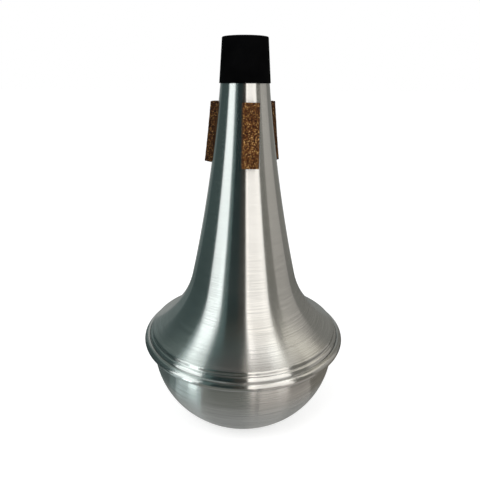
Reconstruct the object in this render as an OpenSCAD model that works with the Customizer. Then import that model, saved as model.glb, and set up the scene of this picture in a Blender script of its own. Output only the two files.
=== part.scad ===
// Trombone straight mute: a spun aluminium shell with a flared skirt,
// closed by a spun bowl whose lip is rolled over the shell's edge, with a
// rubber sleeve on the open small end and three cork strips glued round the neck.
// Millimetres. Z is the axis of turning and points to the small open end.
// The origin is the middle of the flat rest face under the bowl.
// The viewer stands on the -Y side.

/* [Overall] */
// height from the rest face to the top of the rubber sleeve
overall_h = 256.8; // [230:0.1:290]
// thickness of the spun aluminium sheet
sheet_t = 0.8; // [0.5:0.05:1]

/* [Rolled rim] */
// largest width of the mute, across the rolled lip
rim_d = 140; // [120:0.5:155]
// radius of the rolled lip in section
bead_r = 2.9; // [2.4:0.05:3.3]
// height of the middle of the rolled lip above the rest face
bead_z = 61.5; // [54:0.1:70]
// gap between the cut edge of the lip and the shell that it grips
seam_gap = 0.2; // [0.1:0.05:0.4]
// gap left under the shell's cut edge, inside the lip
tuck_gap = 0.05; // [0.02:0.01:0.15]
// distance from the middle of the lip in to the shell's outer face
tuck_w = 0.65; // [0.5:0.05:0.8]

/* [Step above the rim] */
// outer radius of the edge where the flare ends
edge_r = 1.2; // [1.1:0.05:2.2]
// lean of the short wall under that edge, degrees from upright
wall_a = 6; // [2:1:20]
// length of the straight part of that wall
wall_l = 1.1; // [0.6:0.1:4]
// radius of the hollow at the foot of the wall
cove_r = 0.9; // [0.4:0.05:1.5]
// lean of the narrow shelf outside the hollow, degrees from upright
shelf_a = 72; // [58:1:80]
// radius of the rounded shoulder outside the shelf
shoulder_r = 1.5; // [1.1:0.05:2.2]
// lean of the skirt that runs down into the seam, degrees from upright
skirt_a = 20; // [12:1:34]
// length of the straight part of the skirt
skirt_l = 1.3; // [0.8:0.1:4]

/* [Flare and neck] */
// lean of the flare where it ends, degrees from upright
flare_a = 61.8; // [52:0.2:72]
// outer width where the flare runs into the neck
throat_d = 70.3; // [62:0.1:78]
// lean of the metal at that place, degrees from upright
throat_a = 12.7; // [11.5:0.1:15]
// outer width of the metal at its open end
mouth_d = 25.7; // [22:0.1:30]

/* [Bowl] */
// distance that the rolled lip stands out past the bowl's widest place
lip_out = 6.15; // [5.2:0.05:12]
// height of that widest place above the rest face
bowl_z = 53.2; // [48:0.1:56]
// width of the flat rest face under the bowl
rest_d = 47.2; // [36:0.1:56]
// radius of the turn from the bowl wall into the rest face
base_round = 8; // [4:0.5:14]
// radius of the turn from the bowl wall out under the lip
under_r = 0.6; // [0.4:0.1:1.2]

/* [Rubber sleeve] */
// length of the sleeve
sleeve_l = 25.8; // [16:0.1:40]
// height that the sleeve stands above the metal
sleeve_proud = 0.6; // [0.2:0.1:2]
// wall at the sleeve's rounded top
sleeve_top_t = 1; // [0.8:0.05:2]
// wall at the sleeve's lower edge
sleeve_low_t = 0.6; // [0.5:0.05:1.5]
// gap between the sleeve and the metal
sleeve_gap = 0.03; // [0.02:0.01:0.1]

/* [Cork strips] */
// length of a strip along the neck
cork_l = 37.7; // [24:0.1:50]
// width of a strip
cork_w = 10; // [6:0.1:14]
// thickness of a strip
cork_t = 5; // [3:0.1:7]
// distance from the sleeve's lower edge to the strips
cork_drop = 11.2; // [4:0.1:24]
// turn of the front strip from the viewer's side, degrees
cork_turn = 8.9; // [0:0.1:30]
// lean of the front strip, which was glued a little askew, degrees
cork_lean = 1.5; // [0:0.1:4]
// thickness of the glue under a strip
glue_t = 0.15; // [0.1:0.01:0.4]
// distance that the glue stays inside the edges of its strip
glue_inset = 0.3; // [0:0.05:1]
// gap between the neck and the glue
glue_gap = 0.1; // [0.08:0.01:0.15]
// gap between the glue and its cork strip
cork_gap = 0.06; // [0.05:0.01:0.1]

/* [Hidden] */
$fn = 180;
// points for the outer face of the shell, as [width from the axis, height]
bead_c = [rim_d / 2 - bead_r, bead_z];
tuck_r = bead_c[0] - tuck_w;
ledge_z = bead_z - bead_r + sheet_t;
seam_z = bead_z + bead_r;
end_r = sheet_t + 0.3;
tuck_top = seam_z - end_r * sin(skirt_a);
skirt_end = [tuck_r - end_r + end_r * cos(skirt_a), seam_z];
skirt_top = skirt_end - skirt_l * down(skirt_a);
shoulder_c = skirt_top - shoulder_r * out(skirt_a);
shelf_end = shoulder_c + shoulder_r * out(shelf_a);
cove_c = shelf_end + cove_r * out(shelf_a);
wall_end = cove_c - cove_r * out(wall_a);
wall_top = wall_end - wall_l * down(wall_a);
edge_c = wall_top - edge_r * out(wall_a);
flare_end = edge_c + edge_r * out(flare_a);
throat_r = throat_d / 2;
flare_r = (flare_end[0] - throat_r) / (cos(throat_a) - cos(flare_a));
flare_c = flare_end + flare_r * out(flare_a);
throat_z = flare_c[1] - flare_r * sin(throat_a);
metal_z = overall_h - sleeve_proud;
neck_h = metal_z - throat_z;
mouth_a = 2 * atan((throat_r - mouth_d / 2) / neck_h) - throat_a;
neck_r = neck_h / (sin(throat_a) - sin(mouth_a));
neck_c = [throat_r + neck_r * cos(throat_a), throat_z + neck_r * sin(throat_a)];
sleeve_z = overall_h - sleeve_l;
lip_a = acos((tuck_r + seam_gap - bead_c[0]) / bead_r);
bowl_d = rim_d - 2 * lip_out;
base_c = [rest_d / 2, base_round];
bowl_in = bowl_d / 2 - base_c[0];
bowl_arc = (pow(bowl_in, 2) + pow(bowl_z - base_round, 2) - pow(base_round, 2)) / (2 * (bowl_in - base_round));
bowl_c = [bowl_d / 2 - bowl_arc, bowl_z];
under_z = bead_z - bead_r - under_r;
under_c = [bowl_c[0] + sqrt(pow(bowl_arc + under_r, 2) - pow(under_z - bowl_z, 2)), under_z];
under_a = asin((under_z - bowl_z) / (bowl_arc + under_r));
base_a = acos((base_c[0] - bowl_c[0]) / (bowl_arc - base_round));
cork_mid_z = sleeve_z - cork_drop - cork_l / 2 * cos((mouth_a + throat_a) / 2);
cork_a = asin((neck_c[1] - cork_mid_z) / neck_r);
cork_side_a = 120;
low_round = 0.15;
cork_in = glue_gap + glue_t + cork_gap;
metal = [0.75, 0.76, 0.77];
metal_low = [0.68, 0.69, 0.70];
rubber = [0.08, 0.08, 0.09];
cork = [0.60, 0.40, 0.24];
glue = [0.80, 0.70, 0.45];

// direction that a wall leaning by a runs down and out, and its outward side
function down(a) = [sin(a), -cos(a)];
function out(a) = [cos(a), sin(a)];
// width of the neck's outer face from the axis at a height
function neck_at(z) = neck_c[0] - sqrt(pow(neck_r, 2) - pow(neck_c[1] - z, 2));
// points along an arc in the section plane, from step k on
function arc(c, r, a1, a2, n, k = 0) =
    [for (i = [k:n]) c + r * out(a1 + (a2 - a1) * i / n)];
function turned(path) = [for (i = [len(path) - 1:-1:0]) path[i]];

// faces that lie g behind the outer face of the metal, from the open end down
function neck_face(g) = arc(neck_c, neck_r + g, 180 + mouth_a, 180 + throat_a, 24);
function shell_face(g) = concat(
    neck_face(g),
    arc(flare_c, flare_r + g, 180 + throat_a, 180 + flare_a, 24, 1),
    arc(edge_c, edge_r - g, flare_a, wall_a, 6, 1),
    arc(cove_c, cove_r + g, 180 + wall_a, 180 + shelf_a, 6),
    arc(shoulder_c, shoulder_r - g, shelf_a, skirt_a, 6, 1),
    arc([tuck_r - end_r, tuck_top], end_r - g, skirt_a, 0, 4),
    [[tuck_r - g, ledge_z + tuck_gap]]);

// face of the bowl that lies g behind its outer face, from the middle out
function bowl_face(g) = concat(
    [[0, g]],
    arc(base_c, base_round - g, -90, -base_a, 8),
    arc(bowl_c, bowl_arc - g, -base_a, under_a, 30, 1),
    arc(under_c, under_r + g, 180 + under_a, 90, 5, 1),
    arc(bead_c, bead_r - g, -90, lip_a, 18));

module shell_section() {
    polygon(concat(shell_face(0), turned(shell_face(sheet_t))));
}

module bowl_section() {
    polygon(concat(bowl_face(0), turned(bowl_face(sheet_t))));
}

module sleeve_section() {
    in_r = neck_r - sleeve_gap;
    low_a = asin((neck_c[1] - sleeve_z) / in_r);
    top_a = asin((neck_c[1] - metal_z) / in_r);
    low_in = neck_c - in_r * out(low_a);
    top_in = neck_c - in_r * out(top_a);
    round_r = sleeve_top_t / 2;
    round_c = [top_in[0] + round_r, overall_h - round_r];
    polygon(concat(
        arc(neck_c, in_r, 180 + low_a, 180 + top_a, 8),
        arc(round_c, round_r, 180, 0, 10),
        [[low_in[0] + sleeve_low_t, sleeve_z + low_round],
         [low_in[0] + sleeve_low_t - low_round, sleeve_z]]));
}

// strip on the neck between two distances from the metal
module strip(turn, lean, near, far, w, l) {
    reach = far + cork_t;
    rotate([0, 0, turn - 90])
        intersection() {
            rotate_extrude()
                polygon(concat(neck_face(-near), turned(neck_face(-far))));
            translate([neck_c[0] - neck_r * cos(cork_a), 0, neck_c[1] - neck_r * sin(cork_a)])
                rotate([0, -cork_a, 0])
                    rotate([-lean, 0, 0])
                        translate([-reach, -w / 2, -l / 2])
                            cube([2 * reach, w, l]);
        }
}

module spun_shell() {
    color(metal)
        rotate_extrude()
            shell_section();
}

module base_bowl() {
    color(metal_low)
        rotate_extrude()
            bowl_section();
}

module end_sleeve() {
    color(rubber)
        rotate_extrude()
            sleeve_section();
}

module cork_front() {
    color(cork)
        strip(cork_turn, cork_lean, cork_in, cork_in + cork_t, cork_w, cork_l);
}

module cork_right() {
    color(cork)
        strip(cork_turn + cork_side_a, 0, cork_in, cork_in + cork_t, cork_w, cork_l);
}

module cork_left() {
    color(cork)
        strip(cork_turn - cork_side_a, 0, cork_in, cork_in + cork_t, cork_w, cork_l);
}

module glue_front() {
    color(glue)
        strip(cork_turn, cork_lean, glue_gap, glue_gap + glue_t,
              cork_w - 2 * glue_inset, cork_l - 2 * glue_inset);
}

module glue_right() {
    color(glue)
        strip(cork_turn + cork_side_a, 0, glue_gap, glue_gap + glue_t,
              cork_w - 2 * glue_inset, cork_l - 2 * glue_inset);
}

module glue_left() {
    color(glue)
        strip(cork_turn - cork_side_a, 0, glue_gap, glue_gap + glue_t,
              cork_w - 2 * glue_inset, cork_l - 2 * glue_inset);
}

spun_shell();
base_bowl();
end_sleeve();
cork_front();
cork_right();
cork_left();
glue_front();
glue_right();
glue_left();
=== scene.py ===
"""Trombone straight mute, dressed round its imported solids.

Lengths are in metres and angles in degrees. Z is the axis of turning, the rest
face lies at z = 0, and the viewer stands on the -Y side. A texture's scale counts
its cells in a metre.
"""
import logging
import math
from dataclasses import dataclass
from enum import Enum

import bpy
from mathutils import Matrix, Vector


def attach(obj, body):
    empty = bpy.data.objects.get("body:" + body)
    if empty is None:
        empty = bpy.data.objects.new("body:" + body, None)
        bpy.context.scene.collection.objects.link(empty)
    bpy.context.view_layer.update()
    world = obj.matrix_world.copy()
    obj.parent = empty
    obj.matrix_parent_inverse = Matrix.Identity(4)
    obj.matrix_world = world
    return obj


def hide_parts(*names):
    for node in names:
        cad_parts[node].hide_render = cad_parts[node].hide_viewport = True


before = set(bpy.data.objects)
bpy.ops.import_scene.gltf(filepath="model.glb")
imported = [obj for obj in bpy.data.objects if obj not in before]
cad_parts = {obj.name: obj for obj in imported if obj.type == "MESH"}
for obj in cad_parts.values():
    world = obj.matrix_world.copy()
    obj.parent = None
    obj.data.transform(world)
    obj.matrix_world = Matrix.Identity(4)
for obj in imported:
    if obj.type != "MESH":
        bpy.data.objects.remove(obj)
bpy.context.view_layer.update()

LOG = logging.getLogger("mute")
MM = 0.001
WELD = 0.001 * MM
ROOT = "root"


def polar(radius: float, degrees: float) -> Vector:
    """Returns the 2-D point at a distance and an angle from the origin."""
    return Vector((math.cos(math.radians(degrees)), math.sin(math.radians(degrees)))) * radius


def arc(centre: Vector, radius: float, start: float, end: float, steps: int,
        first: int = 0) -> list[Vector]:
    """Walks along an arc in the section plane.

    Args:
        centre: middle of the arc, as width from the axis and height.
        radius: radius of the arc.
        start: angle of its first point.
        end: angle of its last point.
        steps: number of steps from the first point to the last.
        first: step to begin at, 1 where the point before is already there.

    Returns:
        The points from the step first to the last one.
    """
    return [centre + polar(radius, start + (end - start) * i / steps)
            for i in range(first, steps + 1)]


@dataclass
class MuteSection:
    """The section of the spun metal, from a few driving sizes.

    Names end in _r for a radius, _a for an angle, _l for a length, _h for a height,
    _t for a thickness, _w for a width, and _z for a height above the rest face.
    """

    overall_h: float = 256.8 * MM
    sheet_t: float = 0.8 * MM
    rim_r: float = 70.0 * MM
    bead_r: float = 2.9 * MM
    bead_z: float = 61.5 * MM
    seam_gap: float = 0.2 * MM
    tuck_gap: float = 0.05 * MM
    tuck_w: float = 0.65 * MM
    edge_r: float = 1.2 * MM
    wall_a: float = 6.0
    wall_l: float = 1.1 * MM
    cove_r: float = 0.9 * MM
    shelf_a: float = 72.0
    shoulder_r: float = 1.5 * MM
    skirt_a: float = 20.0
    skirt_l: float = 1.3 * MM
    flare_a: float = 61.8
    throat_r: float = 35.15 * MM
    throat_a: float = 12.7
    mouth_r: float = 12.85 * MM
    lip_out: float = 6.15 * MM
    bowl_z: float = 53.2 * MM
    rest_r: float = 23.6 * MM
    base_round: float = 8.0 * MM
    under_r: float = 0.6 * MM
    sleeve_l: float = 25.8 * MM
    sleeve_proud: float = 0.6 * MM
    end_ease: float = 0.3 * MM
    neck_steps: int = 24
    wide_steps: int = 20
    bead_steps: int = 10
    round_steps: int = 4
    bend_steps: int = 3
    end_steps: int = 2

    def __post_init__(self) -> None:
        """Works out the centres and angles that the driving sizes fix."""
        self.bead_c = Vector((self.rim_r - self.bead_r, self.bead_z))
        self.tuck_r = self.bead_c.x - self.tuck_w
        self.ledge_z = self.bead_z - self.bead_r + self.sheet_t
        seam_z = self.bead_z + self.bead_r
        self.end_r = self.sheet_t + self.end_ease
        self.tuck_top = seam_z - polar(self.end_r, self.skirt_a).y
        skirt_end = Vector((self.tuck_r - self.end_r + polar(self.end_r, self.skirt_a).x, seam_z))
        skirt_top = skirt_end + polar(self.skirt_l, self.skirt_a + 90)
        self.shoulder_c = skirt_top - polar(self.shoulder_r, self.skirt_a)
        shelf_end = self.shoulder_c + polar(self.shoulder_r, self.shelf_a)
        self.cove_c = shelf_end + polar(self.cove_r, self.shelf_a)
        wall_end = self.cove_c - polar(self.cove_r, self.wall_a)
        wall_top = wall_end + polar(self.wall_l, self.wall_a + 90)
        self.edge_c = wall_top - polar(self.edge_r, self.wall_a)
        flare_end = self.edge_c + polar(self.edge_r, self.flare_a)
        self.flare_r = (flare_end.x - self.throat_r) / (
            polar(1, self.throat_a).x - polar(1, self.flare_a).x)
        self.flare_c = flare_end + polar(self.flare_r, self.flare_a)
        throat_z = self.flare_c.y - polar(self.flare_r, self.throat_a).y
        self.metal_z = self.overall_h - self.sleeve_proud
        neck_h = self.metal_z - throat_z
        self.mouth_a = 2 * math.degrees(
            math.atan((self.throat_r - self.mouth_r) / neck_h)) - self.throat_a
        self.neck_r = neck_h / (polar(1, self.throat_a).y - polar(1, self.mouth_a).y)
        self.neck_c = Vector((self.throat_r, throat_z)) + polar(self.neck_r, self.throat_a)
        self.sleeve_z = self.overall_h - self.sleeve_l
        self.lip_a = math.degrees(
            math.acos((self.tuck_r + self.seam_gap - self.bead_c.x) / self.bead_r))
        bowl_r = self.rim_r - self.lip_out
        self.base_c = Vector((self.rest_r, self.base_round))
        bowl_in = bowl_r - self.rest_r
        self.bowl_arc = (bowl_in ** 2 + (self.bowl_z - self.base_round) ** 2
                         - self.base_round ** 2) / (2 * (bowl_in - self.base_round))
        self.bowl_c = Vector((bowl_r - self.bowl_arc, self.bowl_z))
        under_z = self.bead_z - self.bead_r - self.under_r
        reach = self.bowl_arc + self.under_r
        self.under_c = Vector((
            self.bowl_c.x + math.sqrt(reach ** 2 - (under_z - self.bowl_z) ** 2), under_z))
        self.under_a = math.degrees(math.asin((under_z - self.bowl_z) / reach))
        self.base_a = math.degrees(
            math.acos((self.base_c.x - self.bowl_c.x) / (self.bowl_arc - self.base_round)))

    def neck_angle(self, radius: float, height: float) -> float:
        """Returns the angle on the neck's arc of that radius at a height."""
        return math.degrees(math.asin((self.neck_c.y - height) / radius))

    def shell_face(self, depth: float, fine: int) -> list[Vector]:
        """Follows the shell from its open small end down to its cut edge.

        Args:
            depth: distance of the face behind the outer face.
            fine: factor on the number of points.

        Returns:
            Points of the face, as width from the axis and height.
        """
        end_c = Vector((self.tuck_r - self.end_r, self.tuck_top))
        bend = self.bend_steps * fine
        return (
            arc(self.neck_c, self.neck_r + depth, 180 + self.mouth_a, 180 + self.throat_a,
                self.neck_steps * fine)
            + arc(self.flare_c, self.flare_r + depth, 180 + self.throat_a, 180 + self.flare_a,
                  self.wide_steps * fine, 1)
            + arc(self.edge_c, self.edge_r - depth, self.flare_a, self.wall_a, bend, 1)
            + arc(self.cove_c, self.cove_r + depth, 180 + self.wall_a, 180 + self.shelf_a, bend)
            + arc(self.shoulder_c, self.shoulder_r - depth, self.shelf_a, self.skirt_a, bend, 1)
            + arc(end_c, self.end_r - depth, self.skirt_a, 0, self.end_steps * fine)
            + [Vector((self.tuck_r - depth, self.ledge_z + self.tuck_gap))])

    def bowl_face(self, depth: float, fine: int) -> list[Vector]:
        """Follows the bowl from the middle of its rest face out to the end of its lip.

        Args:
            depth: distance of the face behind the outer face.
            fine: factor on the number of points.

        Returns:
            Points of the face, as width from the axis and height.
        """
        flat = self.end_steps * fine
        return (
            [Vector((self.rest_r * i / flat, depth)) for i in range(flat)]
            + arc(self.base_c, self.base_round - depth, -90, -self.base_a,
                  self.round_steps * fine)
            + arc(self.bowl_c, self.bowl_arc - depth, -self.base_a, self.under_a,
                  self.wide_steps * fine, 1)
            + arc(self.under_c, self.under_r + depth, 180 + self.under_a, 90,
                  self.bend_steps * fine, 1)
            + arc(self.bead_c, self.bead_r - depth, -90, self.lip_a, self.bead_steps * fine))


class Bench:
    """Blender's modelling operators as short named steps."""

    @staticmethod
    def pick(piece: bpy.types.Object) -> None:
        """Makes a piece the active one, and the only one selected.

        Args:
            piece: the piece to pick.
        """
        bpy.ops.object.select_all(action="DESELECT")
        bpy.context.view_layer.objects.active = piece
        piece.select_set(True)

    @staticmethod
    def edit(piece: bpy.types.Object) -> None:
        """Opens a piece in edit mode with everything selected.

        Args:
            piece: the piece to open.
        """
        Bench.pick(piece)
        bpy.ops.object.mode_set(mode="EDIT")
        bpy.ops.mesh.select_all(action="SELECT")

    @staticmethod
    def done() -> None:
        """Goes back to object mode."""
        bpy.ops.object.mode_set(mode="OBJECT")

    @staticmethod
    def outline(name: str, points: list[Vector], bearing: float,
                closed: bool) -> bpy.types.Object:
        """Draws a chain of edges in the upright plane at a bearing.

        Args:
            name: name of the new piece.
            points: the chain, as width from the axis and height.
            bearing: direction of the plane round the axis, from +X.
            closed: whether the last point joins the first.

        Returns:
            The new piece, left in edit mode.
        """
        way = polar(1, bearing)
        chain = [Vector((p.x * way.x, p.x * way.y, p.y)) for p in points]
        if closed:
            chain.append(chain[0])
        bpy.ops.object.select_all(action="DESELECT")
        bpy.ops.mesh.primitive_plane_add(size=MM, location=(0, 0, 0))
        piece = bpy.context.object
        piece.name = piece.data.name = name
        Bench.edit(piece)
        bpy.ops.mesh.merge(type="CENTER")
        bpy.ops.transform.translate(value=chain[0])
        for here, there in zip(chain, chain[1:]):
            bpy.ops.mesh.extrude_vertices_move(TRANSFORM_OT_translate={"value": there - here})
        bpy.ops.mesh.select_all(action="SELECT")
        return piece

    @staticmethod
    def spin(name: str, points: list[Vector], steps: int, bearing: float = 0.0,
             sweep: float = 360.0, closed: bool = False) -> bpy.types.Object:
        """Spins an outline round the axis of the mute.

        Args:
            name: name of the new piece.
            points: the outline, as width from the axis and height.
            steps: number of steps in the spin.
            bearing: where the spin starts, from +X.
            sweep: angle of the spin.
            closed: whether the outline is a ring.

        Returns:
            The new piece, in object mode.
        """
        piece = Bench.outline(name, points, bearing, closed)
        bpy.ops.mesh.remove_doubles(threshold=WELD)
        bpy.ops.mesh.spin(steps=steps, angle=math.radians(sweep), center=(0, 0, 0),
                          axis=(0, 0, -1))
        bpy.ops.mesh.select_all(action="SELECT")
        bpy.ops.mesh.remove_doubles(threshold=WELD)
        bpy.ops.mesh.normals_make_consistent(inside=False)
        Bench.done()
        return piece

    @staticmethod
    def cut(piece: bpy.types.Object, place: Vector, normal: Vector) -> None:
        """Cuts off what lies beyond a plane and closes the cut.

        Args:
            piece: the piece to cut.
            place: a point of the plane.
            normal: direction of the side that goes.
        """
        Bench.edit(piece)
        bpy.ops.mesh.bisect(plane_co=place, plane_no=normal, use_fill=True, clear_outer=True)
        Bench.done()

    @staticmethod
    def modify(piece: bpy.types.Object, kind: str, **settings: object) -> None:
        """Adds a modifier with its settings and applies it.

        Args:
            piece: the piece to change.
            kind: Blender's name for the kind of modifier.
            settings: values for the modifier's own fields.
        """
        modifier = piece.modifiers.new(kind.lower(), kind)
        for key, value in settings.items():
            setattr(modifier, key, value)
        Bench.pick(piece)
        bpy.ops.object.modifier_apply(modifier=modifier.name)

    @staticmethod
    def smooth(piece: bpy.types.Object, degrees: float) -> None:
        """Smooths a piece, with edges sharper than an angle left crisp."""
        Bench.pick(piece)
        bpy.ops.object.shade_smooth_by_angle(angle=math.radians(degrees))


class Tree:
    """A node tree that is filled node by node."""

    def __init__(self, tree: bpy.types.NodeTree) -> None:
        """Keeps the tree to fill."""
        self.tree = tree

    def add(self, kind: str, inputs: dict | None = None, **settings: object) -> bpy.types.Node:
        """Adds a node.

        Args:
            kind: Blender's name for the kind of node.
            inputs: for each socket by name or number, a value or the socket that feeds it.
            settings: values for the node's own fields.

        Returns:
            The new node.
        """
        node = self.tree.nodes.new(kind)
        for key, value in settings.items():
            setattr(node, key, value)
        for key, value in (inputs or {}).items():
            if isinstance(value, bpy.types.NodeSocket):
                self.tree.links.new(value, node.inputs[key])
            else:
                node.inputs[key].default_value = value
        return node

    def math(self, operation: str, *values: object) -> bpy.types.NodeSocket:
        """Adds a Math node and returns its output."""
        return self.add("ShaderNodeMath", dict(enumerate(values)), operation=operation).outputs[0]

    def spread(self, value: object, low: float, high: float, to_low: float,
               to_high: float) -> bpy.types.NodeSocket:
        """Maps a value from one range to another, with ends held, and returns the output."""
        return self.add("ShaderNodeMapRange", dict(enumerate((value, low, high, to_low, to_high))),
                        clamp=True).outputs[0]

    def blend(self, factor: object, first: object, second: object,
              mode: str = "MIX") -> bpy.types.NodeSocket:
        """Mixes a share of the second colour into the first, and returns the colour."""
        return self.add("ShaderNodeMix", {0: factor, 6: first, 7: second}, data_type="RGBA",
                        blend_type=mode).outputs[2]

    def noise(self, vector: bpy.types.NodeSocket, scale: object, detail: float,
              rough: float) -> bpy.types.NodeSocket:
        """Adds a noise texture and returns its factor."""
        return self.add("ShaderNodeTexNoise", {"Vector": vector, "Scale": scale,
                        "Detail": detail, "Roughness": rough}).outputs["Fac"]

    def place(self) -> bpy.types.NodeSocket:
        """Returns the coordinates on the piece."""
        return self.add("ShaderNodeTexCoord").outputs["Object"]

    def split(self, vector: bpy.types.NodeSocket) -> bpy.types.NodeOutputs:
        """Returns the three parts of a vector."""
        return self.add("ShaderNodeSeparateXYZ", {0: vector}).outputs

    def width(self, parts: bpy.types.NodeOutputs) -> bpy.types.NodeSocket:
        """Returns the distance from the axis for a place in its three parts."""
        squares = [self.math("MULTIPLY", part, part) for part in parts[:2]]
        return self.math("POWER", self.math("ADD", *squares), 0.5)

    def bump(self, height: bpy.types.NodeSocket, strength: float,
             depth: float) -> bpy.types.NodeSocket:
        """Turns a height into a surface normal, and returns the normal."""
        return self.add("ShaderNodeBump", {"Strength": strength, "Distance": depth,
                                           "Height": height}).outputs[0]

    def seen(self) -> bpy.types.NodeSocket:
        """Marks the rays of the camera, of mirrors and of glass.

        Returns:
            1 for those rays, and 0 for the others.
        """
        path = self.add("ShaderNodeLightPath").outputs
        straight = self.math("MAXIMUM", path["Is Camera Ray"], path["Is Glossy Ray"])
        return self.math("MAXIMUM", straight, path["Is Transmission Ray"])

    def surface(self, shader: bpy.types.Node) -> None:
        """Ties a shader to the material's output."""
        self.add("ShaderNodeOutputMaterial", {"Surface": shader.outputs[0]})


def rgba(red: float, green: float, blue: float) -> tuple[float, float, float, float]:
    """Returns a solid colour."""
    return (red, green, blue, 1.0)


def bare_material(name: str) -> tuple[bpy.types.Material, Tree]:
    """Makes a material with no nodes in it.

    Args:
        name: name of the material.

    Returns:
        The material, and its tree to fill.
    """
    made = bpy.data.materials.new(name)
    made.use_nodes = True
    made.node_tree.nodes.clear()
    return made, Tree(made.node_tree)


class Effect:
    """A shader node group with named sockets, built once and placed where it is used."""

    name = "effect"
    inputs: tuple[tuple[str, float], ...] = ()
    outputs: tuple[str, ...] = ()

    def group(self) -> bpy.types.NodeTree:
        """Builds the group on its first use.

        Returns:
            The group.
        """
        found = bpy.data.node_groups.get(self.name)
        if found:
            return found
        made = bpy.data.node_groups.new(self.name, "ShaderNodeTree")
        made.interface.new_socket("Vector", in_out="INPUT", socket_type="NodeSocketVector")
        for label, value in self.inputs:
            socket = made.interface.new_socket(label, in_out="INPUT",
                                               socket_type="NodeSocketFloat")
            socket.default_value = value
        for label in self.outputs:
            made.interface.new_socket(label, in_out="OUTPUT", socket_type="NodeSocketFloat")
        tree = Tree(made)
        start = tree.add("NodeGroupInput")
        values = self.fill(tree, start.outputs)
        tree.add("NodeGroupOutput", dict(zip(self.outputs, values)))
        return made

    def fill(self, tree: Tree, given: bpy.types.NodeOutputs) -> tuple:
        """Fills the group and returns a socket for each output."""
        raise NotImplementedError

    def place(self, tree: Tree, vector: bpy.types.NodeSocket,
              **values: float) -> bpy.types.NodeOutputs:
        """Places the group in a material.

        Args:
            tree: tree of the material.
            vector: coordinates on the piece.
            values: for each input by name, with _ for a space, its value.

        Returns:
            The outputs of the group.
        """
        node = tree.add("ShaderNodeGroup", node_tree=self.group())
        tree.tree.links.new(vector, node.inputs["Vector"])
        for key, value in values.items():
            node.inputs[key.replace("_", " ")].default_value = value
        return node.outputs


class SpunLines(Effect):
    """Fine rings that the spinning tool and the polishing cloth leave round the metal."""

    name = "spun_lines"
    inputs = (("Width Sign", 1.0), ("Fine", 2000.0), ("Broad", 300.0), ("Wander", 0.35),
              ("Break", 2.2))
    outputs = ("Lines", "Bands", "Dashes")
    made_of = (("Fine", "Wander", 0.0), ("Broad", "Wander", 1.0), ("Fine", "Break", 0.0))
    roughness = 0.6
    least_width = 0.5 * MM

    def fill(self, tree: Tree, given: bpy.types.NodeOutputs) -> tuple:
        """Makes noise that changes fast along the section and slowly round the axis.

        Args:
            tree: tree of the group.
            given: inputs of the group.

        Returns:
            The rings, the broader bands, and rings that are broken into dashes.
        """
        parts = tree.split(given["Vector"])
        width = tree.width(parts)
        safe = tree.math("MAXIMUM", width, self.least_width)
        along = tree.math("MULTIPLY_ADD", width, given["Width Sign"], parts[2])
        found = []
        for scale, drift, detail in self.made_of:
            around = [tree.math("MULTIPLY", tree.math("DIVIDE", part, safe), given[drift])
                      for part in parts[:2]]
            vector = tree.add("ShaderNodeCombineXYZ", {
                0: around[0], 1: around[1],
                2: tree.math("MULTIPLY", along, given[scale])}).outputs[0]
            found.append(tree.noise(vector, 1.0, detail, self.roughness))
        return tuple(found)


class Handling(Effect):
    """Faint smudges from handling."""

    name = "handling"
    inputs = (("Smudge Scale", 28.0),)
    outputs = ("Smudges",)
    detail = 4.0
    roughness = 0.55
    clean = 0.35
    soiled = 0.7

    def fill(self, tree: Tree, given: bpy.types.NodeOutputs) -> tuple:
        """Makes soft patches."""
        patches = tree.noise(given["Vector"], given["Smudge Scale"], self.detail, self.roughness)
        return (tree.spread(patches, self.clean, self.soiled, 0.0, 1.0),)


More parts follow.
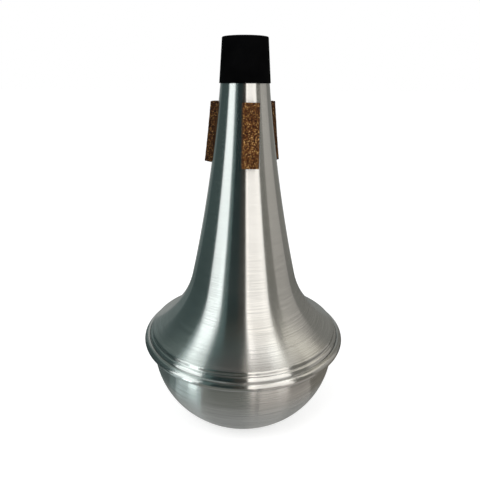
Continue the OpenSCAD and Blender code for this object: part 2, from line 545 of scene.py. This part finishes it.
@dataclass(frozen=True)
class Aluminium:
    """Spun aluminium, brushed by rings round its axis.

    The rings are faint up to the radius neck_r and full from the radius flare_r.
    The metal is smoother outside the radius rim_r. The width_sign is -1 where the
    piece narrows on its way up, and 1 where it widens. The rings' noise is used
    from low to high, and even is its middle.
    """

    name: str
    width_sign: float
    colour: tuple = (0.855, 0.86, 0.855)
    shade: tuple = (0.665, 0.67, 0.665)
    neck_calm: float = 0.14
    neck_r: float = 20.0 * MM
    flare_r: float = 45.0 * MM
    rim_r: float = 64.0 * MM
    rim_fade: float = 0.2 * MM
    low: float = 0.3
    high: float = 0.7
    even: float = 0.5
    line_share: float = 0.85
    band_share: float = 0.15
    dash_share: float = 0.6
    tone_share: float = 0.4
    rough: float = 0.25
    rough_swing: float = 0.015
    smudge_rough: float = 0.015
    rim_rough: float = -0.05
    relief: float = 0.5
    line_depth: float = 0.008 * MM
    stretch: float = 1.0
    stretch_turn: float = 0.25

    def material(self) -> bpy.types.Material:
        """Makes the finish.

        Returns:
            The finish as a material.
        """
        made, tree = bare_material(self.name)
        place = tree.place()
        lines = SpunLines().place(tree, place, Width_Sign=self.width_sign)
        smudges = Handling().place(tree, place)["Smudges"]
        mask, bands, dashes = (tree.spread(lines[name], self.low, self.high, 0.0, 1.0)
                               for name in ("Lines", "Bands", "Dashes"))
        width = tree.width(tree.split(place))
        rim = tree.spread(width, self.rim_r - self.rim_fade, self.rim_r + self.rim_fade, 0.0, 1.0)
        amount = tree.spread(width, self.neck_r, self.flare_r, self.neck_calm, 1.0)
        tone = tree.math("MULTIPLY_ADD", mask, self.line_share,
                         tree.math("MULTIPLY", bands, self.band_share))
        tone, dashes = (
            tree.math("MULTIPLY_ADD", tree.math("SUBTRACT", value, self.even), amount, self.even)
            for value in (tone, dashes))
        wear = tree.math("MULTIPLY_ADD", dashes, self.dash_share,
                         tree.math("MULTIPLY", tone, self.tone_share))
        rough = tree.math("ADD", tree.spread(tone, 0.0, 1.0, self.rough + self.rough_swing,
                                             self.rough - self.rough_swing),
                          tree.math("MULTIPLY", smudges, self.smudge_rough))
        tree.surface(tree.add("ShaderNodeBsdfPrincipled", {
            "Base Color": tree.blend(wear, rgba(*self.shade), rgba(*self.colour)),
            "Metallic": 1.0,
            "Roughness": tree.math("MULTIPLY_ADD", rim, self.rim_rough, rough),
            "Normal": tree.bump(tree.math("MULTIPLY", tone, amount), self.relief, self.line_depth),
            "Anisotropic": self.stretch,
            "Anisotropic Rotation": self.stretch_turn,
            "Tangent": tree.add("ShaderNodeTangent", direction_type="RADIAL",
                                axis="Z").outputs[0]}))
        return made


@dataclass(frozen=True)
class Rubber:
    """Matte black moulded rubber."""

    name: str = "sleeve_rubber"
    colour: tuple = (0.0012, 0.0012, 0.0014)
    worn: tuple = (0.0026, 0.0026, 0.0028)
    smudge_scale: float = 90.0
    smudge_rough: float = -0.06
    grain_scale: float = 2600.0
    grain_detail: float = 3.0
    grain_rough: float = 0.6
    rough: float = 0.62
    rough_swing: float = 0.15
    relief: float = 0.35
    depth: float = 0.04 * MM
    gloss: float = 0.015

    def material(self) -> bpy.types.Material:
        """Makes the finish.

        Returns:
            The finish as a material.
        """
        made, tree = bare_material(self.name)
        place = tree.place()
        smudges = Handling().place(tree, place, Smudge_Scale=self.smudge_scale)["Smudges"]
        grain = tree.noise(place, self.grain_scale, self.grain_detail, self.grain_rough)
        rough = tree.math("MULTIPLY_ADD", grain, self.rough_swing, self.rough)
        tree.surface(tree.add("ShaderNodeBsdfPrincipled", {
            "Base Color": tree.blend(smudges, rgba(*self.colour), rgba(*self.worn)),
            "Roughness": tree.math("MULTIPLY_ADD", smudges, self.smudge_rough, rough),
            "Normal": tree.bump(grain, self.relief, self.depth),
            "Specular IOR Level": self.gloss}))
        return made


@dataclass(frozen=True)
class PressedCork:
    """Pressed granules of cork bound into sheet.

    The tones are the granules' colours, by their share of the granules. The cut
    faces, which look sideways, are darkened by painted shade.
    """

    name: str = "pressed_cork"
    tones: tuple = ((0.0, (0.014, 0.004, 0.001)), (0.25, (0.049, 0.0145, 0.0035)),
                    (0.62, (0.112, 0.038, 0.009)), (0.86, (0.300, 0.122, 0.031)),
                    (1.0, (0.77, 0.45, 0.16)))
    granule: float = 2000.0
    warp_scale: float = 900.0
    warp_detail: float = 2.0
    warp: float = 0.4 * MM
    seam_w: float = 0.09
    seam_dark: float = 0.45
    speck: float = 3400.0
    speck_detail: float = 3.0
    speck_rough: float = 0.7
    speck_low: float = 0.34
    speck_high: float = 0.47
    speck_dark: float = 0.22
    painted_side_shade: float = 0.52
    side_low: float = 0.45
    side_high: float = 0.8
    crown_w: float = 0.2
    crown_h: float = 0.6
    speck_h: float = 0.5
    relief: float = 0.8
    depth: float = 0.2 * MM
    rough_low: float = 0.72
    rough_high: float = 0.95
    gloss: float = 0.25

    def granules(self, tree: Tree, place: bpy.types.NodeSocket) -> tuple:
        """Parts the cork into granules.

        Args:
            tree: tree of the material.
            place: coordinates on the piece.

        Returns:
            Two random values for each granule, and the distance to its seam.
        """
        warp = tree.add("ShaderNodeTexNoise", {"Vector": place, "Scale": self.warp_scale,
                                               "Detail": self.warp_detail}).outputs["Color"]
        bent = tree.add("ShaderNodeVectorMath", {0: warp, 1: (self.warp,) * 3},
                        operation="MULTIPLY").outputs[0]
        bent = tree.add("ShaderNodeVectorMath", {0: place, 1: bent}, operation="ADD").outputs[0]
        cells = tree.add("ShaderNodeTexVoronoi", {"Vector": bent, "Scale": self.granule})
        edge = tree.add("ShaderNodeTexVoronoi", {"Vector": bent, "Scale": self.granule},
                        feature="DISTANCE_TO_EDGE").outputs["Distance"]
        pick = tree.add("ShaderNodeSeparateColor", {0: cells.outputs["Color"]}).outputs
        return pick[0], pick[1], edge

    def tone(self, tree: Tree, pick: bpy.types.NodeSocket) -> bpy.types.NodeSocket:
        """Gives each granule its colour.

        Args:
            tree: tree of the material.
            pick: a random value for each granule.

        Returns:
            The colour.
        """
        ramp = tree.add("ShaderNodeValToRGB", {0: pick})
        ends = ramp.color_ramp.elements
        for end, (position, colour) in ((ends[0], self.tones[0]), (ends[1], self.tones[-1])):
            end.position, end.color = position, rgba(*colour)
        for position, colour in self.tones[1:-1]:
            ends.new(position).color = rgba(*colour)
        return ramp.outputs[0]

    def facing(self, tree: Tree, place: bpy.types.NodeSocket) -> bpy.types.NodeSocket:
        """Tells the outer face from the cut sides.

        Args:
            tree: tree of the material.
            place: coordinates on the piece.

        Returns:
            1 where the surface looks straight away from the axis, and less beside it.
        """
        parts = tree.split(place)
        flat = tree.add("ShaderNodeCombineXYZ", {0: parts[0], 1: parts[1], 2: 0.0}).outputs[0]
        outward = tree.add("ShaderNodeVectorMath", {0: flat}, operation="NORMALIZE").outputs[0]
        normal = tree.add("ShaderNodeNewGeometry").outputs["True Normal"]
        return tree.add("ShaderNodeVectorMath", {0: normal, 1: outward},
                        operation="DOT_PRODUCT").outputs["Value"]

    def material(self) -> bpy.types.Material:
        """Makes the finish.

        Returns:
            The finish as a material.
        """
        made, tree = bare_material(self.name)
        place = tree.place()
        pick, other, edge = self.granules(tree, place)
        fleck = tree.noise(place, self.speck, self.speck_detail, self.speck_rough)
        seam = tree.spread(edge, 0.0, self.seam_w, self.seam_dark, 1.0)
        dark = tree.spread(fleck, self.speck_low, self.speck_high, self.speck_dark, 1.0)
        # Painted shade: faces that look sideways from the axis are made darker.
        side = tree.spread(self.facing(tree, place), self.side_low, self.side_high,
                           self.painted_side_shade, 1.0)
        shade = tree.math("MULTIPLY", tree.math("MULTIPLY", seam, dark), side)
        grey = tree.add("ShaderNodeCombineColor", {0: shade, 1: shade, 2: shade}).outputs[0]
        height = tree.math("MULTIPLY_ADD", tree.spread(edge, 0.0, self.crown_w, 0.0, 1.0),
                           self.crown_h, tree.math("MULTIPLY", fleck, self.speck_h))
        tree.surface(tree.add("ShaderNodeBsdfPrincipled", {
            "Base Color": tree.blend(1.0, self.tone(tree, pick), grey, "MULTIPLY"),
            "Roughness": tree.spread(other, 0.0, 1.0, self.rough_low, self.rough_high),
            "Normal": tree.bump(height, self.relief, self.depth),
            "Specular IOR Level": self.gloss}))
        return made


@dataclass(frozen=True)
class ContactGlue:
    """Dried amber contact glue under the cork."""

    name: str = "contact_glue"
    colour: tuple = (0.30, 0.17, 0.06)
    thick: tuple = (0.16, 0.075, 0.022)
    run_scale: float = 420.0
    run_detail: float = 4.0
    run_rough: float = 0.6
    thin_end: float = 0.35
    thick_end: float = 0.65
    smooth_end: float = 0.3
    dull_end: float = 0.7
    rough_low: float = 0.3
    rough_high: float = 0.5
    relief: float = 0.5
    depth: float = 0.06 * MM

    def material(self) -> bpy.types.Material:
        """Makes the finish.

        Returns:
            The finish as a material.
        """
        made, tree = bare_material(self.name)
        runs = tree.noise(tree.place(), self.run_scale, self.run_detail, self.run_rough)
        tree.surface(tree.add("ShaderNodeBsdfPrincipled", {
            "Base Color": tree.blend(tree.spread(runs, self.thin_end, self.thick_end, 0.0, 1.0),
                                     rgba(*self.colour), rgba(*self.thick)),
            "Roughness": tree.spread(runs, self.smooth_end, self.dull_end, self.rough_low,
                                     self.rough_high),
            "Normal": tree.bump(runs, self.relief, self.depth)}))
        return made


def dress(piece: bpy.types.Object, material: bpy.types.Material, slot: str,
          *nodes: str) -> None:
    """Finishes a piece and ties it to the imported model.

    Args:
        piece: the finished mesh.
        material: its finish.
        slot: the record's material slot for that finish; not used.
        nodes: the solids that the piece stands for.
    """
    piece.data.materials.clear()
    piece.data.materials.append(material)
    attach(piece, ROOT)
    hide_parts(*nodes)
    LOG.info("%s: %d faces for %s", piece.name, len(piece.data.polygons), ", ".join(nodes))


@dataclass
class SpunBody:
    """The shell and the bowl that is rolled over its edge."""

    section: MuteSection
    steps: int = 192
    fine: int = 4
    inner_fine: int = 2
    lip_round: float = 0.12 * MM
    lip_segments: int = 2
    sharp_a: float = 55.0
    smooth_a: float = 35.0

    def shell(self) -> bpy.types.Object:
        """Builds the flared shell with its open small end.

        Returns:
            The finished mesh.
        """
        outer = self.section.shell_face(0, self.fine)
        inner = self.section.shell_face(self.section.sheet_t, self.inner_fine)
        piece = Bench.spin("shell", outer + inner[::-1], self.steps, closed=True)
        return self.finish(piece)

    def bowl(self) -> bpy.types.Object:
        """Builds the bowl with its rolled lip.

        Returns:
            The finished mesh.
        """
        outer = self.section.bowl_face(0, self.fine)
        inner = self.section.bowl_face(self.section.sheet_t, self.inner_fine)
        piece = Bench.spin("bowl", outer + inner[::-1], self.steps)
        return self.finish(piece)

    def finish(self, piece: bpy.types.Object) -> bpy.types.Object:
        """Rounds the cut edges of the sheet and smooths the rest.

        Args:
            piece: the spun mesh.

        Returns:
            The same piece.
        """
        Bench.modify(piece, "BEVEL", width=self.lip_round, segments=self.lip_segments,
                     limit_method="ANGLE", angle_limit=math.radians(self.sharp_a))
        Bench.smooth(piece, self.smooth_a)
        return piece

    def build(self) -> None:
        """Builds and dresses both pieces."""
        shell = Aluminium("shell_aluminium", width_sign=-1.0)
        bowl = Aluminium("bowl_aluminium", width_sign=1.0, colour=(0.905, 0.91, 0.905),
                         shade=(0.6, 0.605, 0.6), neck_calm=1.0)
        dress(self.shell(), shell.material(), "shell_aluminium", "spun_shell")
        dress(self.bowl(), bowl.material(), "bowl_aluminium", "base_bowl")


@dataclass
class EndSleeve:
    """The rubber sleeve on the small end."""

    section: MuteSection
    gap: float = 0.03 * MM
    top_t: float = 1.0 * MM
    low_t: float = 0.6 * MM
    low_round: float = 0.15 * MM
    steps: int = 192
    side_steps: int = 24
    arc_steps: int = 12
    corner_steps: int = 4
    smooth_a: float = 40.0

    def build(self) -> None:
        """Builds and dresses the sleeve."""
        s = self.section
        in_r = s.neck_r - self.gap
        low_a, top_a = (s.neck_angle(in_r, z) for z in (s.sleeve_z, s.metal_z))
        low_in, top_in = (s.neck_c - polar(in_r, a) for a in (low_a, top_a))
        round_r = self.top_t / 2
        top = arc(Vector((top_in.x + round_r, s.overall_h - round_r)), round_r, 180, 0,
                  self.arc_steps)
        low_out = Vector((low_in.x + self.low_t, s.sleeve_z + self.low_round))
        side = [top[-1].lerp(low_out, (i + 1) / self.side_steps) for i in range(self.side_steps)]
        corner = arc(low_out - Vector((self.low_round, 0)), self.low_round, 0, -90,
                     self.corner_steps, 1)
        inside = arc(s.neck_c, in_r, 180 + low_a, 180 + top_a, self.arc_steps)
        piece = Bench.spin("sleeve", inside + top + side + corner, self.steps, closed=True)
        Bench.smooth(piece, self.smooth_a)
        dress(piece, Rubber().material(), "sleeve_rubber", "end_sleeve")


class Place(Enum):
    """Where a cork strip sits: its name, and its turn from the front strip."""

    FRONT = ("front", 0.0)
    RIGHT = ("right", 120.0)
    LEFT = ("left", -120.0)


@dataclass
class CorkStrips:
    """The three cork strips and the glue under them."""

    section: MuteSection
    length: float = 37.7 * MM
    width: float = 10.0 * MM
    thick: float = 5.0 * MM
    drop: float = 11.2 * MM
    turn: float = 8.9
    lean: float = 1.5
    glue_in: float = 0.31 * MM
    spare: float = 4.0 * MM
    spread: float = 34.0
    spread_steps: int = 48
    band_steps: int = 40
    voxel: float = 0.24 * MM
    relief: tuple = (("granules", "VORONOI", 0.9 * MM, 0.16 * MM),
                     ("pits", "CLOUDS", 0.45 * MM, 0.16 * MM))
    fade: float = 1.0 * MM
    fade_hold: float = 0.2

    def frame_of(self, turn: float, lean: float) -> Matrix:
        """Works out the strip's own frame: X off the metal, Y across, Z along.

        Args:
            turn: the strip's bearing from the viewer's side.
            lean: how far its top leans over.

        Returns:
            The frame, with its origin in the middle of the strip's foot.
        """
        s = self.section
        mid_z = s.sleeve_z - self.drop - self.length / 2 * math.cos(
            math.radians((s.mouth_a + s.throat_a) / 2))
        slope = s.neck_angle(s.neck_r, mid_z)
        foot = s.neck_c - polar(s.neck_r, slope)
        return (Matrix.Rotation(math.radians(turn - 90), 4, "Z")
                @ Matrix.Translation((foot.x, 0, foot.y))
                @ Matrix.Rotation(math.radians(-slope), 4, "Y")
                @ Matrix.Rotation(math.radians(-lean), 4, "X"))

    def strip(self, place: Place) -> bpy.types.Object:
        """Builds one strip: a band spun on the neck, cut to size and grained.

        Args:
            place: which of the three strips.

        Returns:
            The strip as a finished mesh.
        """
        s = self.section
        label, extra = place.value
        turn, lean = self.turn + extra, self.lean if place is Place.FRONT else 0.0
        low = s.neck_angle(s.neck_r, s.sleeve_z - self.drop - self.length - self.spare)
        high = s.neck_angle(s.neck_r, s.sleeve_z - self.drop + self.spare)
        near, far = (s.neck_r - self.glue_in - t for t in (0.0, self.thick))
        band = (arc(s.neck_c, near, 180 + high, 180 + low, self.band_steps)
                + arc(s.neck_c, far, 180 + high, 180 + low, self.band_steps)[::-1])
        piece = Bench.spin("cork_strip_" + label, band, self.spread_steps,
                           turn - 90 - self.spread, 2 * self.spread, True)
        own = self.frame_of(turn, lean)
        turned = own.to_3x3()
        for way, reach in ((Vector((0, 1, 0)), self.width / 2),
                           (Vector((0, 0, 1)), self.length / 2)):
            for side in (1, -1):
                Bench.cut(piece, own @ (way * reach * side), turned @ (way * side))
        Bench.modify(piece, "REMESH", mode="VOXEL", voxel_size=self.voxel)
        self.grain(piece, near)
        Bench.smooth(piece, 180)
        return piece

    def grain(self, piece: bpy.types.Object, near: float) -> None:
        """Raises granules and pits on every face but the glued one.

        Args:
            piece: the strip as fine even quads.
            near: radius of the glued face on the neck's arc.
        """
        s = self.section
        free = piece.vertex_groups.new(name="free")
        for vertex in piece.data.vertices:
            width = math.hypot(vertex.co.x, vertex.co.y)
            depth = near - (Vector((width, vertex.co.z)) - s.neck_c).length
            share = min(max(depth / self.fade - self.fade_hold, 0.0), 1.0)
            free.add([vertex.index], share, "REPLACE")
        for name, kind, scale, strength in self.relief:
            texture = bpy.data.textures.new(name, kind)
            texture.noise_scale = scale
            Bench.modify(piece, "DISPLACE", texture=texture, texture_coords="LOCAL",
                         strength=strength, mid_level=0.5, vertex_group=free.name)
        piece.vertex_groups.clear()

    def build(self) -> None:
        """Builds and dresses the strips, and finishes the glue films."""
        cork, glue = PressedCork().material(), ContactGlue().material()
        for place in Place:
            label = place.value[0]
            dress(self.strip(place), cork, "cork", "cork_" + label)
            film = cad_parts["glue_" + label]
            film.data.materials.clear()
            film.data.materials.append(glue)
            LOG.info("%s: finished as it is", film.name)


@dataclass(frozen=True)
class Band:
    """One ring of glowing panels in the studio, seen only in the metal.

    Each panel has a name, the bearing where it ends, and its light as a colour
    where 1 is white. It begins where the one before it ends. The bearing 0 is the
    viewer's side.
    """

    name: str
    start: float
    panels: tuple


@dataclass(frozen=True)
class Lamp:
    """One round soft lamp: its place, its width across and its power in watts."""

    name: str
    place: tuple
    size: float
    power: float


@dataclass
class Studio:
    """Floor, white surroundings, lamps, camera and the panels that the metal mirrors.

    The bands card, table and apron are flat rings round the foot, out to their own
    radius. The bands low, mid and high are rings of a dome of the radius tent_r, up
    to the angles low_top, mid_top and high_top, and the cap closes it.
    """

    floor_size: float = 30.0
    floor_z: float = -0.4 * MM
    floor_white: float = 0.86
    floor_lift: float = 0.5
    world_light: float = 0.6
    lamps: tuple = (Lamp("key", (-0.7, -0.9, 1.2), 0.8, 7.0),
                    Lamp("fill", (0.9, -0.7, 0.9), 0.9, 4.0))
    aim: tuple = (0.0, 0.0, 0.12)
    eye: tuple = (-2.55 * MM, -292.9 * MM, 231.0 * MM)
    look_down: float = 18.998
    roll: float = 0.29
    lens: float = 34.16
    sensor: float = 36.0
    clip: tuple = (0.01, 100.0)
    foot_z: float = -0.2 * MM
    rise_steps: int = 4
    panel_step: float = 4.0
    card_r: float = 0.08
    table_r: float = 0.14
    apron_r: float = 0.34
    tent_r: float = 1.6
    low_top: float = 36.0
    mid_top: float = 52.0
    high_top: float = 68.0
    card: Band = Band("card", -180, (("card", 180, (0.33, 0.335, 0.325)),))
    table: Band = Band("table", -180, (
        ("far_left", -150, (0.105, 0.12, 0.115)),
        ("left", -80, (0.12, 0.145, 0.14)),
        ("window", -70, (0.21, 0.265, 0.255)),
        ("window_strip", -62, (0.47, 0.57, 0.56)),
        ("window_right", -39, (0.345, 0.43, 0.42)),
        ("front", 6.5, (0.205, 0.21, 0.19)),
        ("strip", 10.5, (0.31, 0.287, 0.26)),
        ("line", 14, (0.2, 0.186, 0.168)),
        ("softbox", 70, (0.405, 0.372, 0.334)),
        ("right", 108, (0.17, 0.155, 0.13)),
        ("back", 150, (0.06, 0.06, 0.055)),
        ("far_right", 180, (0.085, 0.09, 0.085)),
    ))
    apron: Band = Band("apron", -180, (
        ("far_left", -150, (0.105, 0.12, 0.115)),
        ("left", -66, (0.03, 0.04, 0.04)),
        ("window", -55, (0.42, 0.49, 0.48)),
        ("window_strip", -45, (1.95, 2.2, 2.15)),
        ("front", 8, (0.145, 0.151, 0.134)),
        ("strip", 12, (0.62, 0.577, 0.525)),
        ("line", 16, (0.08, 0.076, 0.068)),
        ("softbox", 33, (0.37, 0.34, 0.305)),
        ("softbox_edge", 45, (0.78, 0.725, 0.66)),
        ("right", 108, (0.17, 0.16, 0.14)),
        ("back", 150, (0.06, 0.06, 0.055)),
        ("far_right", 180, (0.085, 0.09, 0.085)),
    ))
    low: Band = Band("low", -180, (
        ("back", -149, (0.34, 0.36, 0.35)),
        ("back_left", -130, (0.125, 0.16, 0.155)),
        ("left", -76, (0.055, 0.08, 0.077)),
        ("window", -44, (1.2, 1.28, 1.25)),
        ("frame", -33, (0.09, 0.135, 0.13)),
        ("gap_left", -10, (0.008, 0.022, 0.024)),
        ("curtain", 5, (0.034, 0.033, 0.029)),
        ("strip", 11, (1.6, 1.505, 1.39)),
        ("softbox", 38, (1.27, 1.22, 1.145)),
        ("softbox_edge", 51, (1.36, 1.305, 1.225)),
        ("gap_right", 74, (0.175, 0.17, 0.15)),
        ("wall", 115, (0.41, 0.39, 0.355)),
        ("back_right", 150, (0.21, 0.205, 0.185)),
        ("far_right", 180, (0.28, 0.285, 0.27)),
    ))
    mid: Band = Band("mid", -180, (
        ("far_left", -150, (0.165, 0.185, 0.165)),
        ("back_left", -92, (0.125, 0.16, 0.15)),
        ("frame_left", -83, (0.42, 0.54, 0.54)),
        ("window", -56, (1.67, 1.79, 1.75)),
        ("frame", -34, (0.14, 0.195, 0.185)),
        ("gap_left", 6, (0.068, 0.056, 0.04)),
        ("strip", 14, (1.29, 1.235, 1.105)),
        ("softbox", 63, (0.915, 0.845, 0.74)),
        ("gap_right", 72, (0.0, 0.0, 0.0)),
        ("wall", 120, (0.925, 0.875, 0.755)),
        ("back_right", 150, (0.31, 0.284, 0.233)),
        ("far_right", 180, (0.2, 0.2, 0.17)),
    ))
    high: Band = Band("high", -180, (
        ("far_left", -150, (0.43, 0.5, 0.475)),
        ("back_left", -108, (0.56, 0.68, 0.65)),
        ("window", -87, (1.285, 1.38, 1.325)),
        ("gap_left", 10, (0.048, 0.09, 0.09)),
        ("strip", 23, (2.2, 2.13, 2.07)),
        ("softbox", 58, (1.245, 1.225, 1.185)),
        ("lamp", 71, (2.27, 2.29, 2.2)),
        ("wall", 102, (1.02, 0.977, 0.88)),
        ("back_right", 150, (0.19, 0.175, 0.155)),
        ("far_right", 180, (0.31, 0.32, 0.3)),
    ))
    cap: Band = Band("cap", -150, (
        ("left", 0, (0.08, 0.07, 0.065)),
        ("right", 150, (0.355, 0.323, 0.286)),
        ("back", 210, (0.2, 0.185, 0.165)),
    ))

    def floor(self) -> None:
        """Lays the pale floor, which shows the object's shadow."""
        bpy.ops.object.select_all(action="DESELECT")
        bpy.ops.mesh.primitive_plane_add(size=self.floor_size, location=(0, 0, self.floor_z))
        floor = bpy.context.object
        floor.name = "floor"
        made, tree = bare_material("pale_floor")
        diffuse = tree.add("ShaderNodeBsdfDiffuse", {"Color": rgba(*(self.floor_white,) * 3)})
        lift = tree.add("ShaderNodeEmission", {
            "Color": rgba(1, 1, 1),
            "Strength": tree.math("MULTIPLY", tree.seen(), self.floor_lift)})
        tree.surface(tree.add("ShaderNodeAddShader", {0: diffuse.outputs[0],
                                                      1: lift.outputs[0]}))
        floor.data.materials.append(made)

    def world(self) -> None:
        """Makes the white surroundings, and the soft light that comes from them."""
        world = bpy.data.worlds.new("studio")
        bpy.context.scene.world = world
        world.use_nodes = True
        world.node_tree.nodes.clear()
        tree = Tree(world.node_tree)
        strength = tree.spread(tree.seen(), 0.0, 1.0, self.world_light, 1.0)
        back = tree.add("ShaderNodeBackground", {"Color": rgba(1, 1, 1), "Strength": strength})
        tree.add("ShaderNodeOutputWorld", {"Surface": back.outputs[0]})

    def glow(self, name: str, light: tuple) -> bpy.types.Material:
        """Makes a plain glowing material.

        Args:
            name: name of the material.
            light: its light, where 1 is white.

        Returns:
            The material.
        """
        made, tree = bare_material(name)
        strength = max(light)
        colour = rgba(*(part / (strength or 1.0) for part in light))
        tree.surface(tree.add("ShaderNodeEmission", {"Color": colour, "Strength": strength}))
        made.cycles.emission_sampling = "NONE"
        return made

    def tent(self) -> None:
        """Stands the panels round the object, from the table up to the top."""
        foot = Vector((0, self.foot_z))
        card, table, apron = (foot + Vector((reach, 0))
                              for reach in (self.card_r, self.table_r, self.apron_r))
        tops = (0, self.low_top, self.mid_top, self.high_top, 90)
        low, mid, high, cap = (arc(foot, self.tent_r, *ends, self.rise_steps)
                               for ends in zip(tops, tops[1:]))
        for band, outline in (
                (self.card, [foot, card]), (self.table, [card, table]),
                (self.apron, [table, apron]), (self.low, [apron] + low),
                (self.mid, mid), (self.high, high), (self.cap, cap)):
            self.stand(band, outline)

    def stand(self, band: Band, outline: list[Vector]) -> None:
        """Spins a band's panels, which show in reflections and nowhere else.

        Args:
            band: the panels.
            outline: section of the band, as width from the axis and height.
        """
        left = band.start
        for name, right, light in band.panels:
            sweep = right - left
            piece = Bench.spin(f"{band.name}_{name}", outline,
                               max(2, round(sweep / self.panel_step)), left - 90, sweep)
            piece.data.materials.append(self.glow(piece.name, light))
            for ray in ("camera", "diffuse", "shadow", "transmission", "volume_scatter"):
                setattr(piece, "visible_" + ray, False)
            left = right

    def hang(self, lamp: Lamp) -> None:
        """Hangs a soft lamp that lights the cork, the rubber and the floor.

        Args:
            lamp: its name, place, size and power.
        """
        data = bpy.data.lights.new(lamp.name, "AREA")
        data.shape, data.size, data.energy = "DISK", lamp.size, lamp.power
        made = bpy.data.objects.new(lamp.name, data)
        made.location = lamp.place
        made.rotation_euler = (Vector(self.aim) - Vector(lamp.place)).to_track_quat(
            "-Z", "Y").to_euler()
        made.visible_glossy = False
        made.visible_camera = False
        bpy.context.scene.collection.objects.link(made)

    def camera(self) -> None:
        """Sets the camera where the photograph was taken from."""
        data = bpy.data.cameras.new("camera")
        data.sensor_width, data.lens = self.sensor, self.lens
        data.clip_start, data.clip_end = self.clip
        camera = bpy.data.objects.new("camera", data)
        bpy.context.scene.collection.objects.link(camera)
        camera.matrix_world = (Matrix.Translation(self.eye)
                               @ Matrix.Rotation(math.radians(90 - self.look_down), 4, "X")
                               @ Matrix.Rotation(math.radians(self.roll), 4, "Z"))
        bpy.context.scene.camera = camera

    def build(self) -> None:
        """Sets the whole stage."""
        self.floor()
        self.world()
        self.tent()
        for lamp in self.lamps:
            self.hang(lamp)
        self.camera()
        bpy.context.scene.view_settings.view_transform = "Standard"


def main() -> None:
    """Builds the mute and its stage."""
    logging.basicConfig(level=logging.INFO, format="%(name)s: %(message)s")
    section = MuteSection()
    SpunBody(section).build()
    EndSleeve(section).build()
    CorkStrips(section).build()
    Studio().build()


if __name__ == "__main__":
    main()
